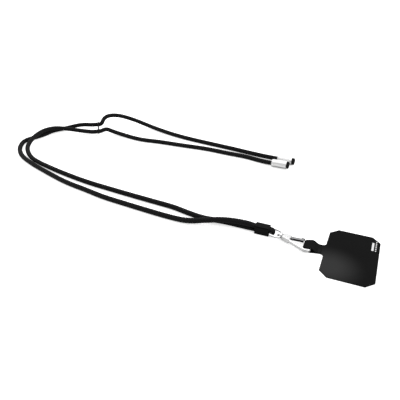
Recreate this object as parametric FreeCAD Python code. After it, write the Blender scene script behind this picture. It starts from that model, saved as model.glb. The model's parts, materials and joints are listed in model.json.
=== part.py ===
import FreeCAD, Part
import math
import os

# Adjustable neck lanyard for a phone: one braided cord folded in half, a crimp and a swivel snap hook at
# the fold, a two-hole slider that both halves run through, two capped tails, and a flat fabric tether card
# whose tab loops round the hook. It lies relaxed on a flat surface, which is the plane z = 0.
# Millimetres. Origin: centre of the card's underside. +X runs from the hook to the card's far edge, +Z up.

V = FreeCAD.Vector

# ---- driving dimensions -------------------------------------------------------------------------------

CORD_R = 2.5                    # braided sheath, outer radius
CORE_R = 1.6                    # filler yarns inside the sheath

CARD_LONG = 64.0                # across the tab
CARD_SHORT = 40.0               # along the tab
CARD_CHAMFER = 6.5
BACKING_T = 0.4
FACE_T = 0.5
NECK_WIDTH = 12.0               # tab where it meets the card
NECK_STUB = 2.5                 # part of the tab that stays with the card
NECK_FILLET = 2.5
FLEX_GAP = 1.0                  # room for the bend between card and tab

TAB_T = 0.6                     # webbing of the tab loop
TAB_LOOP_WIDTH = 5.8
TAB_SHIFT = 0.4                 # the loop sits a little towards the hook's nose
TAB_REACH = 4.0                 # the slack loop lies this far into the hook, from its end bar
TAB_SLACK = 0.12                # between the hook's bar and the webbing over it
TAB_MERGE = 5.3                 # from the hook's bar to where both layers meet
RUN_FIT = 0.05                  # radial clearance of everything that turns

EYE = V(-64.0, 3.8, 3.85)       # centre of the cord's fold, where the swivel eye's bar sits
HOOK_YAW = -12.5                # hook axis against the card axis
HOOK_PITCH = 2.7                # the hook's far end lies lower than its eye

# On the hook: U along its axis from the eye's bar, V across it towards the nose.
EYE_ROD_R = 0.9
EYE_HALF_WIDTH = 4.9
EYE_LENGTH = 8.4
EYE_CORNER = 1.5
EYE_SHOULDER_U = 5.9            # where the ring's sides begin to close in on the boss
EYE_SHOULDER = 2.0              # by how much they close in
BOSS_R = 2.3
BOSS_START = 7.5
BOSS_END = 9.65
POST_R = 1.2
POST_HEAD_R = 1.9
POST_HEAD_T = 1.1
POST_HEAD_SINK = 0.54           # of the head's seat into the eye's rod
POST_HEAD_FILLET = 0.4
POST_SEAT = 1.4                 # depth of the post in the hook's plate

PLATE_START = 9.95
PLATE_END = 17.0
PLATE_HALF_T = 2.1
PLATE_NECK_HALF_W = 2.6
PLATE_SHOULDER_U = 12.3
PLATE_SHOULDER_V = 3.3
PLATE_NOSE_SIDE_V = 3.8
PLATE_SPINE_SIDE_V = -4.0
PLATE_CORNER = 0.7
PLATE_BEVEL = 0.6
ROD_R = 1.45                    # the hook's round bar
SPINE_START = V(11.7, -1.2, 0)  # inside the plate
BAR_AT = 34.4                   # far-end bar, along the hook axis
BAR_HALF = 6.3
ROD_CORNER = 3.4                # radius of the bar's centreline in its corners
NOSE_TIP = V(23.8, 5.95, 0)
NOSE_NOTCH_END = 27.0           # the gate's tip tucks under the nose up to here
NOSE_NOTCH_START = 4.0          # along the gate
NOSE_NOTCH_FIT = 0.1

PIN_AT = V(13.5, 0.6, 0)
PIN_R = 0.9
PIN_HEAD_R = 1.8
PIN_HEAD_BEVEL = 0.2
PIN_HEAD_T = 0.25
GATE_HALF_T = 1.15
GATE_HALF_W = 1.3
GATE_TAIL_R = 2.0
GATE_ANGLE = 19.2               # gate against the hook axis when shut
GATE_LENGTH = 13.7
GATE_EDGE = 0.35
GATE_WALL = 0.45
GATE_HOLLOW_START = 5.1
GATE_SLOT_R = 8.0               # round the pin
GATE_SLOT_SIDE = 1.75           # from the hook axis to the slot's closed side, towards the spine
GATE_SLOT_FIT = 0.1
SPRING_POCKET_HALF_T = 0.6
SPRING_POCKET_FIT = 0.4
SPRING_WIRE_R = 0.2
SPRING_COIL_R = 1.3
SPRING_PITCH = 0.41             # between the two turns of wire

CRIMP_LENGTH = 12.0
CRIMP_WIDTH = 7.6
CRIMP_HEIGHT = 8.2
CRIMP_T = 0.6
CRIMP_CORNER = 1.4
CRIMP_SEAM = 0.25
CRIMP_TO_EYE = 1.85             # from the crimp's mouth to the eye's bar

SLIDER_CENTRE = V(-316, 130, 7.3)
SLIDER_YAW = 30.0               # direction of the two holes
SLIDER_PITCH = 3.0
SLIDER_LEAN = 28.0              # the far hole sits higher than the near one
SLIDER_HOLE_GAP = 11.2
SLIDER_T = 1.0
SLIDER_RIM = 0.55               # material round each hole
SLIDER_BEVEL = 0.2
HOLE_R = CORD_R + 0.08
STRAIGHT = 7.6                  # corner of the cord's path before the slider
STRAIGHT_TRIM = 2.8             # how far its bend reaches from that corner
CORD_CUT = 1.1                  # end of the neck cord past the slider
TAIL_START = 2.3                # start of each tail past the slider
TAIL_CORNER = 4.6               # first corner of each tail's path past the slider

SLEEVE_R = 4.0                  # at the closed end
SLEEVE_MOUTH_R = 3.25
SLEEVE_LENGTH = 15.4
SLEEVE_CHAMFER = 0.3
SLEEVE_BORE_DEPTH = 11.0
SLEEVE_LEAD = 4.5               # last corner of the cord's path, ahead of the sleeve
PLUG_R = 3.6
PLUG_T = 3.2
PLUG_STEM_R = 2.0
PLUG_STEM = 2.0
PLUG_PROUD = 2.1

# Corner points of each run of cord, from the crimp to the slider. The cord is a smooth line inside them.
# The outer strand leaves the crimp on top; the inner one rides over it in the neck bend.
OUTER_STRAND = [
    V(-74, 4.2, 5.8), V(-90, 3.6, 6.8), V(-105, 1.5, 6.6), V(-118, -2.2, 5.0), V(-134, -8, 3.0),
    V(-153, -7.5, 2.5), V(-178, -5.5, 2.5), V(-225, -1, 2.5), V(-245, 3.5, 2.5), V(-274, 8.5, 2.5),
    V(-305, 18.5, 2.5), V(-335, 29, 2.5), V(-357, 39.5, 2.5), V(-373, 54.5, 2.5), V(-382, 73, 2.5),
    V(-375.5, 86, 2.5), V(-371, 98, 2.5), V(-370.5, 110, 2.5), V(-360, 121.5, 2.8), V(-344, 132.5, 6.5),
]
INNER_STRAND = [
    V(-74, 4.2, 2.5), V(-90, 4.6, 2.5), V(-108, 4.6, 2.5), V(-124, 2, 2.5), V(-143, 5.5, 2.5),
    V(-155, 8.5, 2.5), V(-197, 11.5, 2.5), V(-235, 15, 2.5), V(-254.5, 17, 2.5), V(-290, 23.5, 2.5),
    V(-325, 32.5, 2.5), V(-343, 38.5, 3.2), V(-359.5, 52, 5.2), V(-367, 67, 6.8), V(-371, 83.5, 7.7),
    V(-371.5, 98, 7.8), V(-365.5, 110, 7.2), V(-352, 116.3, 5.6), V(-333, 119.5, 4.6),
]
# From the slider to each end sleeve's mouth, then the sleeve's far end.
OUTER_TAIL = [
    V(-316.6, 142.5, 15), V(-313, 149.5, 17), V(-304, 158.5, 15.5), V(-287, 167, 9), V(-264, 167, 3.4),
    V(-235, 159, 2.5), V(-210, 153.5, 2.5), V(-181, 150, 2.5), V(-151, 147, 2.5), V(-122, 143, 2.5),
    V(-109, 141.5, 2.6),
]
OUTER_SLEEVE = [V(-92.8, 139, 3.58), V(-76.2, 136.2, 4.85)]
INNER_TAIL = [
    V(-306.5, 130.8, 8.2), V(-300.5, 133.4, 4.6), V(-280, 132, 2.5), V(-257, 128, 2.5), V(-233, 131.5, 2.5),
    V(-205, 132.5, 2.5), V(-176, 135, 2.5), V(-147, 133, 2.5), V(-128.5, 133, 2.5), V(-112, 129.4, 2.6),
]
INNER_SLEEVE = [V(-96.3, 126.66, 3.58), V(-80.2, 125.3, 4.85)]

# ---- helpers ------------------------------------------------------------------------------------------


def unit(v):
    return V(v).normalize()


def corner_reach(before, corner, after, radius):
    """How far along its legs an arc of this radius reaches from a corner."""
    half_turn = (math.pi - (before - corner).getAngle(after - corner)) / 2
    return radius * math.tan(half_turn)


def rounded_path(points, trims=None):
    """A wire through the legs between the points, with the largest arc that fits each corner.

    trims limits how far along its legs a corner's arc may reach.
    """
    trims = trims or {}
    edges = []
    start = points[0]
    last = len(points) - 1
    for i in range(1, last):
        back = points[i - 1] - points[i]
        ahead = points[i + 1] - points[i]
        reach = 0.49 * min(back.Length, ahead.Length)
        reach = trims.get(i, reach)
        back, ahead = unit(back), unit(ahead)
        first = points[i] + back * reach
        second = points[i] + ahead * reach
        half_turn = (math.pi - back.getAngle(ahead)) / 2
        to_centre = unit(back + ahead)
        radius = reach / math.tan(half_turn)
        middle = points[i] + to_centre * (radius / math.cos(half_turn) - radius)
        edges.append(Part.makeLine(start, first))
        edges.append(Part.Arc(first, middle, second).toShape())
        start = second
    edges.append(Part.makeLine(start, points[last]))
    return Part.Wire(edges)


def closed_rounded_path(corners, radius):
    """A closed wire with the same arc at every corner."""
    edges = []
    ends = []
    count = len(corners)
    for i, corner in enumerate(corners):
        back = unit(corners[i - 1] - corner)
        ahead = unit(corners[(i + 1) % count] - corner)
        half_turn = (math.pi - back.getAngle(ahead)) / 2
        reach = radius * math.tan(half_turn)
        middle = corner + unit(back + ahead) * (radius / math.cos(half_turn) - radius)
        ends.append((corner + back * reach, middle, corner + ahead * reach))
    for i, (first, middle, second) in enumerate(ends):
        edges.append(Part.Arc(first, middle, second).toShape())
        edges.append(Part.makeLine(second, ends[(i + 1) % count][0]))
    return Part.Wire(edges)


def rod(path, radius):
    """A round solid along a wire."""
    edge = path.Edges[0]
    start = edge.valueAt(edge.FirstParameter)
    along = edge.tangentAt(edge.FirstParameter)
    circle = Part.Wire(Part.makeCircle(radius, start, along))
    return path.makePipeShell([circle], True, False)


def disc(radius, length, start, along):
    return Part.makeCylinder(radius, length, start, along)


def plate(corners, thickness, radius=0.0):
    """A flat solid standing on its outline's plane, growing along +Z."""
    outline = closed_rounded_path(corners, radius) if radius else Part.makePolygon(corners + corners[:1])
    return Part.Face(outline).extrude(V(0, 0, thickness))


def rounded_box(length, width, height, radius):
    """A bar along +X, centred in Y and Z, with its four long edges rounded."""
    y, z = width / 2, height / 2
    corners = [V(0, -y, -z), V(0, y, -z), V(0, y, z), V(0, -y, z)]
    return Part.Face(closed_rounded_path(corners, radius)).extrude(V(length, 0, 0))


HOOK_PLACE = FreeCAD.Placement(EYE, FreeCAD.Rotation(HOOK_YAW, HOOK_PITCH, 0))


def from_hook(shape):
    """Moves a shape drawn along the hook's own axis to its place in the lanyard."""
    moved = shape.copy()
    moved.transformShape(HOOK_PLACE.toMatrix())
    return moved


SLIDER_TURN = FreeCAD.Rotation(SLIDER_YAW, -SLIDER_PITCH, SLIDER_LEAN)
HOLE_AXIS = SLIDER_TURN.multVec(V(1, 0, 0))
HOLE_LINE = SLIDER_TURN.multVec(V(0, 1, 0))
OUTER_HOLE = SLIDER_CENTRE + HOLE_LINE * (SLIDER_HOLE_GAP / 2)
INNER_HOLE = SLIDER_CENTRE - HOLE_LINE * (SLIDER_HOLE_GAP / 2)

# ---- cord ---------------------------------------------------------------------------------------------


def strand_path(points, hole):
    """From the crimp to just past the slider, straight where the slider travels."""
    into = hole - HOLE_AXIS * STRAIGHT
    end = hole + HOLE_AXIS * CORD_CUT
    return rounded_path(points + [into, end], {len(points): STRAIGHT_TRIM})


def tail_path(hole, points, sleeve):
    """From just past the slider, straight into the end sleeve, to the bottom of its bore."""
    start = hole + HOLE_AXIS * TAIL_START
    out = hole + HOLE_AXIS * TAIL_CORNER
    along = unit(sleeve[1] - sleeve[0])
    lead = sleeve[0] - along * SLEEVE_LEAD
    end = sleeve[0] + along * SLEEVE_BORE_DEPTH
    trims = {1: 0.95 * (TAIL_CORNER - TAIL_START), len(points) + 2: 0.9 * SLEEVE_LEAD}
    return rounded_path([start, out] + points + [lead, end], trims)


def crimp_back():
    """Where the strands run into the crimp."""
    return EYE.x - CRIMP_TO_EYE - CRIMP_LENGTH


def pressed_room():
    """Everything level with the crimp, where the cord isn't round."""
    side = 2 * CRIMP_LENGTH
    return Part.makeBox(CRIMP_LENGTH, side, side, V(crimp_back(), EYE.y - side / 2, EYE.z - side / 2))


def crimped_fold():
    """The middle of the cord, pressed solid in the crimp and wrapped over the eye's bar."""
    width = CRIMP_WIDTH - 2 * CRIMP_T
    height = CRIMP_HEIGHT - 2 * CRIMP_T
    packed = rounded_box(CRIMP_LENGTH + CRIMP_TO_EYE, width, height, CRIMP_CORNER - CRIMP_T)
    packed.translate(V(crimp_back(), EYE.y, CRIMP_HEIGHT / 2))
    loop = disc((height + CRIMP_T) / 2, width, V(EYE.x, EYE.y - width / 2, EYE.z), V(0, 1, 0))
    rims = [e for e in loop.Edges if e.BoundBox.YLength < 1e-6]
    loop = loop.makeFillet(CRIMP_CORNER - CRIMP_T, rims).cut(pressed_room())
    across = HOOK_PLACE.Rotation.multVec(V(0, 1, 0))
    bore = disc(EYE_ROD_R + RUN_FIT, 4 * width, EYE - across * (2 * width), across)
    return packed.fuse(loop).cut(bore)


def neck_cord():
    """Sheath and core of the cord from one slider hole round the fold to the other."""
    paths = [strand_path(OUTER_STRAND, OUTER_HOLE), strand_path(INNER_STRAND, INNER_HOLE)]
    cores = [rod(path, CORE_R).cut(pressed_room()) for path in paths]
    strands = [rod(path, CORD_R).cut(pressed_room()) for path in paths]
    sheath = crimped_fold().fuse(strands).cut(cores)
    return sheath, Part.makeCompound(cores)


def tail(hole, points, sleeve):
    path = tail_path(hole, points, sleeve)
    core = rod(path, CORE_R)
    return rod(path, CORD_R).cut(core), core


# ---- fittings on the cord -----------------------------------------------------------------------------


def crimp():
    """A folded sheet-metal clamp with its seam along the top, near the front corner."""
    shell = rounded_box(CRIMP_LENGTH, CRIMP_WIDTH, CRIMP_HEIGHT, CRIMP_CORNER)
    inside = rounded_box(
        CRIMP_LENGTH, CRIMP_WIDTH - 2 * CRIMP_T, CRIMP_HEIGHT - 2 * CRIMP_T, CRIMP_CORNER - CRIMP_T)
    seam = Part.makeBox(
        CRIMP_LENGTH, CRIMP_SEAM, 2 * CRIMP_T,
        V(0, CRIMP_CORNER - CRIMP_WIDTH / 2, CRIMP_HEIGHT / 2 - 1.5 * CRIMP_T))
    clamp = shell.cut(inside).cut(seam)
    clamp.translate(V(crimp_back(), EYE.y, CRIMP_HEIGHT / 2))
    return clamp


def slider():
    """A small stadium plate with one snug hole for each strand."""
    half = SLIDER_HOLE_GAP / 2
    radius = HOLE_R + SLIDER_RIM
    ends = [disc(radius, SLIDER_T, V(-SLIDER_T / 2, y, 0), V(1, 0, 0)) for y in (-half, half)]
    web = Part.makeBox(SLIDER_T, 2 * half, 2 * radius, V(-SLIDER_T / 2, -half, -radius))
    body = ends[0].fuse([ends[1], web]).removeSplitter()
    rims = [e for e in body.Edges if e.BoundBox.XLength < 1e-6]
    body = body.makeChamfer(SLIDER_BEVEL, rims)
    holes = [disc(HOLE_R, 2 * SLIDER_T, V(-SLIDER_T, y, 0), V(1, 0, 0)) for y in (-half, half)]
    body = body.cut(holes)
    body.transformShape(FreeCAD.Placement(SLIDER_CENTRE, SLIDER_TURN).toMatrix())
    return body


def end_sleeve(sleeve):
    """A turned cap over the cord's end, wider towards the plug that closes it, and that plug."""
    along = unit(sleeve[1] - sleeve[0])
    start = sleeve[0]
    rim = SLEEVE_R - SLEEVE_CHAMFER
    stages = [
        (SLEEVE_MOUTH_R - SLEEVE_CHAMFER, SLEEVE_MOUTH_R, SLEEVE_CHAMFER),
        (SLEEVE_MOUTH_R, SLEEVE_R, SLEEVE_LENGTH - 2 * SLEEVE_CHAMFER),
        (SLEEVE_R, rim, SLEEVE_CHAMFER)]
    cones = []
    at = 0.0
    for first, second, length in stages:
        cones.append(Part.makeCone(first, second, length, start + along * at, along))
        at += length
    body = cones[0].fuse(cones[1:])
    bore = disc(CORD_R, SLEEVE_BORE_DEPTH, start, along)
    seat = start + along * (SLEEVE_LENGTH - PLUG_T + PLUG_PROUD)
    head = disc(PLUG_R, PLUG_T, seat, along)
    stem = disc(PLUG_STEM_R, PLUG_STEM, seat - along * PLUG_STEM, along)
    return body.cut([bore, head, stem]), head.fuse(stem)


# ---- swivel and snap hook, drawn along the hook's own axis ---------------------------------------------


def swivel_eye():
    """A ring of wire with a drilled boss at its far end."""
    narrow = EYE_HALF_WIDTH - EYE_SHOULDER
    corners = [
        V(0, -EYE_HALF_WIDTH, 0), V(0, EYE_HALF_WIDTH, 0), V(EYE_SHOULDER_U, EYE_HALF_WIDTH, 0),
        V(EYE_LENGTH, narrow, 0), V(EYE_LENGTH, -narrow, 0), V(EYE_SHOULDER_U, -EYE_HALF_WIDTH, 0),
    ]
    ring = rod(closed_rounded_path(corners, EYE_CORNER), EYE_ROD_R)
    boss = disc(BOSS_R, BOSS_END - BOSS_START, V(BOSS_START, 0, 0), V(1, 0, 0))
    bore = disc(POST_R + RUN_FIT, EYE_LENGTH, V(BOSS_START - 2 * EYE_ROD_R, 0, 0), V(1, 0, 0))
    return ring.fuse(boss).cut(bore)


def swivel_post():
    """A headed post: the head sits inside the eye, the shaft runs through the boss into the hook."""
    head_at = BOSS_START - POST_HEAD_SINK - POST_HEAD_T
    head = disc(POST_HEAD_R, POST_HEAD_T, V(head_at, 0, 0), V(1, 0, 0))
    head = head.makeFillet(POST_HEAD_FILLET, [e for e in head.Edges if abs(e.BoundBox.XMax - head_at) < 1e-6])
    shaft = disc(POST_R, PLATE_START + POST_SEAT - head_at, V(head_at, 0, 0), V(1, 0, 0))
    return head.fuse(shaft).removeSplitter()


def through_pin(radius, half_length=2 * PLATE_HALF_T):
    """A cylinder on the pin's axis, by default longer than the hook is thick."""
    return disc(radius, 2 * half_length, PIN_AT - V(0, 0, half_length), V(0, 0, 1))


def hook_frame():
    """Slotted plate, round bar bent to a teardrop, and a nose that stops the gate."""
    side = [
        V(PLATE_START, -PLATE_NECK_HALF_W, 0), V(PLATE_START, PLATE_NECK_HALF_W, 0),
        V(PLATE_SHOULDER_U, PLATE_SHOULDER_V, 0), V(PLATE_END, PLATE_NOSE_SIDE_V, 0),
        V(PLATE_END, PLATE_SPINE_SIDE_V, 0),
    ]
    body = plate(side, 2 * PLATE_HALF_T, PLATE_CORNER)
    body.translate(V(0, 0, -PLATE_HALF_T))
    rims = [e for e in body.Edges if e.BoundBox.ZLength < 1e-6]
    body = body.makeChamfer(PLATE_BEVEL, rims)
    bends = [SPINE_START, V(BAR_AT, -BAR_HALF, 0), V(BAR_AT, BAR_HALF, 0), NOSE_TIP]
    trims = {i: corner_reach(bends[i - 1], bends[i], bends[i + 1], ROD_CORNER) for i in (1, 2)}
    body = body.fuse(rod(rounded_path(bends, trims), ROD_R)).removeSplitter()
    slot_half = GATE_HALF_T + RUN_FIT
    slot = Part.makeBox(
        2 * GATE_SLOT_R, 2 * GATE_SLOT_R, 2 * slot_half,
        V(PIN_AT.x - GATE_TAIL_R - GATE_SLOT_FIT, -GATE_SLOT_SIDE, -slot_half))
    slot = slot.common(through_pin(GATE_SLOT_R))
    notch = gate_bar(GATE_HALF_W + NOSE_NOTCH_FIT, 2 * ROD_R, NOSE_NOTCH_START, NOSE_NOTCH_END)
    post_bore = disc(POST_R, POST_SEAT, V(PLATE_START, 0, 0), V(1, 0, 0))
    pin_hole = through_pin(PIN_R)
    return body.cut([slot, notch, post_bore, pin_hole])


def gate_bar(half_width, half_height, start, end_at=None):
    """A straight bar along the shut gate, from the pin's side to the tip."""
    length = GATE_LENGTH if end_at is None else (end_at - PIN_AT.x) / math.cos(math.radians(GATE_ANGLE))
    bar = Part.makeBox(length - start, 2 * half_width, 2 * half_height, V(start, -half_width, -half_height))
    bar.rotate(V(0, 0, 0), V(0, 0, 1), GATE_ANGLE)
    bar.translate(PIN_AT)
    return bar


def gate():
    """A channel, open to the inside, with a drilled tail that turns in the hook's slot."""
    tail_disc = through_pin(GATE_TAIL_R, GATE_HALF_T)
    arm = gate_bar(GATE_HALF_W, GATE_HALF_T, 0.0)
    along_edges = [e for e in arm.Edges if abs(e.Length - GATE_LENGTH) < 1e-6]
    arm = arm.makeFillet(GATE_EDGE, along_edges)
    hollow_length = GATE_LENGTH - GATE_HOLLOW_START - GATE_WALL
    hollow = Part.makeBox(
        hollow_length, 2 * GATE_HALF_W - GATE_WALL, 2 * (GATE_HALF_T - GATE_WALL),
        V(GATE_HOLLOW_START, -GATE_HALF_W, GATE_WALL - GATE_HALF_T))
    hollow.rotate(V(0, 0, 0), V(0, 0, 1), GATE_ANGLE)
    hollow.translate(PIN_AT)
    spring_pocket = through_pin(SPRING_COIL_R + SPRING_POCKET_FIT, SPRING_POCKET_HALF_T)
    return tail_disc.fuse(arm).cut([hollow, spring_pocket, through_pin(PIN_R + RUN_FIT)])


def gate_spring():
    """Two turns of wire round the pin, in the pocket of the gate's tail."""
    turns = [
        Part.makeTorus(SPRING_COIL_R, SPRING_WIRE_R, PIN_AT + V(0, 0, z), V(0, 0, 1))
        for z in (-SPRING_PITCH / 2, SPRING_PITCH / 2)]
    return Part.makeCompound(turns)


def gate_pin():
    """A rivet through the hook's plate, with a low round head on each face."""
    half = PLATE_HALF_T
    top_r = PIN_HEAD_R - PIN_HEAD_BEVEL
    heads = [
        Part.makeCone(PIN_HEAD_R, top_r, PIN_HEAD_T, PIN_AT + V(0, 0, half * side), V(0, 0, side))
        for side in (1, -1)]
    return through_pin(PIN_R, half).fuse(heads)


# ---- tether card --------------------------------------------------------------------------------------


def card_outline(z):
    """Chamfered rectangle with the stub of the tab at its middle."""
    x, y, c = CARD_SHORT / 2, CARD_LONG / 2, CARD_CHAMFER
    n = NECK_WIDTH / 2
    return [
        V(x, -y + c, z), V(x, y - c, z), V(x - c, y, z), V(-x + c, y, z), V(-x, y - c, z),
        V(-x, n + NECK_FILLET, z), V(-x - NECK_STUB, n, z), V(-x - NECK_STUB, -n, z),
        V(-x, -n - NECK_FILLET, z), V(-x, -y + c, z), V(-x + c, -y, z), V(x - c, -y, z),
    ]


def card_layer(z, thickness):
    return plate(card_outline(z), thickness)


def loop_slope():
    """Angle, from the x axis, of the spot on the bar where the loop's top layer turns down to the neck."""
    return math.pi / 2 - 2 * math.atan2(ROD_R + TAB_SLACK, TAB_MERGE)


def loop_profile(radius, level_x, level_z):
    """Side view of one face of the slack loop round the hook's bar.

    The bar is at the origin and x runs towards the card. Inside the hook the loop lies in the hook's
    plane. Past the bar its top slopes down to the flat neck, level with the bottom of the loop.
    """
    slope = loop_slope()
    over = (math.pi / 2 + slope) / 2
    rise = TAB_REACH * math.tan(math.radians(HOOK_PITCH))
    top_end = V(radius * math.cos(slope), 0, radius * math.sin(slope))
    bend = Part.Arc(V(0, 0, radius), V(radius * math.cos(over), 0, radius * math.sin(over)), top_end)
    front_high = V(-TAB_REACH, 0, rise + radius)
    front_low = V(-TAB_REACH, 0, rise - radius)
    front = Part.Arc(front_high, V(-TAB_REACH - radius, 0, rise), front_low)
    under_bar = V(0, 0, -radius)
    end_high = V(level_x, 0, level_z)
    end_low = V(level_x, 0, -radius)
    sides = [
        bend.toShape(), Part.makeLine(V(0, 0, radius), front_high), front.toShape(),
        Part.makeLine(front_low, under_bar), Part.makeLine(under_bar, end_low),
    ]
    if end_high.distanceToPoint(end_low) > 1e-6:
        sides.append(Part.makeLine(end_low, end_high))
    sides.append(Part.makeLine(end_high, top_end))
    return Part.Face(Part.Wire(Part.__sortEdges__(sides)))


def tab_loop():
    """Webbing looped over the hook's bar, its two layers joined in a flat neck towards the card."""
    bar = HOOK_PLACE.multVec(V(BAR_AT, 0, 0))
    inner_r = ROD_R + TAB_SLACK
    outer_r = inner_r + TAB_T
    neck_t = 2 * TAB_T
    slope = loop_slope()
    level_x = (outer_r - (neck_t - outer_r) * math.sin(slope)) / math.cos(slope)
    loop = loop_profile(outer_r, level_x, neck_t - outer_r).cut(loop_profile(inner_r, TAB_MERGE, -inner_r))
    loop = loop.extrude(V(0, TAB_LOOP_WIDTH, 0))
    near_side = TAB_SHIFT - TAB_LOOP_WIDTH / 2
    far_side = TAB_SHIFT + TAB_LOOP_WIDTH / 2
    loop.translate(V(0, near_side, 0))
    turn = FreeCAD.Rotation(HOOK_YAW, 0, 0)
    loop.transformShape(FreeCAD.Placement(bar, turn).toMatrix())
    # the neck flares from the loop's end to the full width, square to the card
    near = bar + turn.multVec(V(level_x, near_side, 0))
    far = bar + turn.multVec(V(level_x, far_side, 0))
    low = bar.z - outer_r
    end_x = -CARD_SHORT / 2 - NECK_STUB - FLEX_GAP
    neck = plate([
        V(near.x, near.y, low), V(end_x, -NECK_WIDTH / 2, low),
        V(end_x, NECK_WIDTH / 2, low), V(far.x, far.y, low)], neck_t)
    return loop.fuse(neck).removeSplitter()


# ---- build --------------------------------------------------------------------------------------------


def build():
    neck_sheath, neck_core = neck_cord()
    outer_sheath, outer_core = tail(OUTER_HOLE, OUTER_TAIL, OUTER_SLEEVE)
    inner_sheath, inner_core = tail(INNER_HOLE, INNER_TAIL, INNER_SLEEVE)
    outer_barrel, outer_plug = end_sleeve(OUTER_SLEEVE)
    inner_barrel, inner_plug = end_sleeve(INNER_SLEEVE)
    return {
        "neck_cord_sheath": neck_sheath,
        "neck_cord_core": neck_core,
        "outer_tail_sheath": outer_sheath,
        "outer_tail_core": outer_core,
        "inner_tail_sheath": inner_sheath,
        "inner_tail_core": inner_core,
        "cord_crimp": crimp(),
        "cord_slider": slider(),
        "outer_end_sleeve": outer_barrel,
        "outer_end_plug": outer_plug,
        "inner_end_sleeve": inner_barrel,
        "inner_end_plug": inner_plug,
        "swivel_eye": from_hook(swivel_eye()),
        "swivel_post": from_hook(swivel_post()),
        "hook_frame": from_hook(hook_frame()),
        "hook_gate": from_hook(gate()),
        "gate_spring": from_hook(gate_spring()),
        "gate_pin": from_hook(gate_pin()),
        "tab_loop": tab_loop(),
        "card_backing": card_layer(0, BACKING_T),
        "card_face": card_layer(BACKING_T, FACE_T),
    }


os.makedirs("parts", exist_ok=True)
for name, shape in build().items():
    if not shape.isValid() or shape.Volume <= 0:
        raise RuntimeError(name + " is not a valid solid")
    shape.exportStep("parts/" + name + ".step")
    print(name, len(shape.Solids), round(shape.Volume, 1))
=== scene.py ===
import json
import math

import bpy
import numpy as np
from mathutils import Matrix, Vector
from mathutils.bvhtree import BVHTree


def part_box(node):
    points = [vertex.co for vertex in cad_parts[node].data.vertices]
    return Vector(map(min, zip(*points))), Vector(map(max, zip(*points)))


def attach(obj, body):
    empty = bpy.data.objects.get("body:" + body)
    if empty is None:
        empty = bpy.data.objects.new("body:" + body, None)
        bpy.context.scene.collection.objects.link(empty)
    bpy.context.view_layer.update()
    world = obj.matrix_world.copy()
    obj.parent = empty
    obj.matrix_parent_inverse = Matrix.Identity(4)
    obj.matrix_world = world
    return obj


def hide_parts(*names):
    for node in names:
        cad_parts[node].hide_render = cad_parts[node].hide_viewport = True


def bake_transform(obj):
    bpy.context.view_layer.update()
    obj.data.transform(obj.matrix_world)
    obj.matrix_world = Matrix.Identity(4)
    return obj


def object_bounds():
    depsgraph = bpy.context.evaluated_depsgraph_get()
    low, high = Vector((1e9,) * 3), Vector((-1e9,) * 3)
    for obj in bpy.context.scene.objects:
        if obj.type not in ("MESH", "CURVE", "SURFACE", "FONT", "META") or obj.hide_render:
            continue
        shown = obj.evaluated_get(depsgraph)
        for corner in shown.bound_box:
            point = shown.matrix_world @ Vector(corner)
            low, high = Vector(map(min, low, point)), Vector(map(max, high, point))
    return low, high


# Looks of the phone lanyard: braided cord, crimp, slider, end caps, swivel snap hook and tether card.
# Geometry is worked out in millimetres in the part's own frame, and scaled to metres as each piece is made.

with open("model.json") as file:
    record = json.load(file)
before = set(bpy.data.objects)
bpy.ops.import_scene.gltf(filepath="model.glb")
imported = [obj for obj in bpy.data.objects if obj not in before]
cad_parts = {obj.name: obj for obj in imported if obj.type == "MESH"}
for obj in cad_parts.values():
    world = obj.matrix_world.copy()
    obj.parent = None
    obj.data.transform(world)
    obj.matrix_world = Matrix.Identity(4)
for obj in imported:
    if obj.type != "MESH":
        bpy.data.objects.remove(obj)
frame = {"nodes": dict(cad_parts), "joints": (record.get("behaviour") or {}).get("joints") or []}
cad_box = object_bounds()

MM = 0.001
NODES = frame["nodes"]
JOINTS = {joint["name"]: joint for joint in frame["joints"]}

# ---- sizes ---------------------------------------------------------------------------------------------

CORD_R = 2.5
RING_SIDES = 48
RING_STEP = 0.3                 # between rings along the cord
WALK_STEP = 1.0                 # between points of a centreline found inside a CAD rod
COARSE_STEP = 0.8               # between points of the cord's first, rough line
COARSE_EASING = 3               # rounds of smoothing before that line is cut
RING_EASING = 10                # before it is cut into rings
LAST_EASING = 30                # and after
STRAND_END_DEPTH = 0.05         # how deep a strand's end face is looked for
STRAND_END_INSET = 0.5          # how far inside it the centreline starts
CARRIERS = 8                    # yarns of the braid each way round
CARRIER_STEP = 2.4              # along the cord, from one yarn to the next
FILAMENTS = 6                   # ridges seen across a yarn
BRAID_RELIEF = 0.22             # depth of the valleys between yarns
YARN_CROWN = 2.2                # how square a yarn's section is: 2 is a parabola
YARN_DIP = 0.65                 # share of its height that a yarn loses where it goes under
CRIMPED_HALF_WIDTH = 3.0
CRIMPED_HALF_THICK = 1.6
CRIMP_APPROACH = 7.0            # over which the cord flattens
CRIMP_SIDE_REACH = 10.0         # cord further to the side than this runs past the crimp
FOLD_R = 2.6                    # centreline of the cord round the eye's bar
FOLD_SPREAD = math.radians(108)
FOLD_FROM = 2.0                 # the fold's straight sides: from inside the crimp's far end
FOLD_TO = 0.4                   # to just inside its mouth
PIVOT_TO_HOLE = 1.7             # each tail's hinge is this far past the slider's hole

CAST_VOXEL = 0.14               # finest detail kept on the hook's frame
THIN_VOXEL = 0.1                # and on the smaller fittings
LATHE_SIDES = 96
WELD_GAP = 0.002

CAP_FIT = 0.02                  # gap round the cord and round the disc
CAP_MOUTH_EASE = 0.2            # the mouth is this much smaller than the CAD's
CAP_LIP = 1.35                  # length of the rolled lip and its groove
CAP_RIM = 0.5                   # length of the rounded rim
CAP_SWELL = 0.05                # how far the body bulges midway
CAP_SEAT = 1.1                  # depth of the disc's seat
CAP_END = 3.0                   # depth of the solid end, seat and all
DISC_DISH = 0.15

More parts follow.
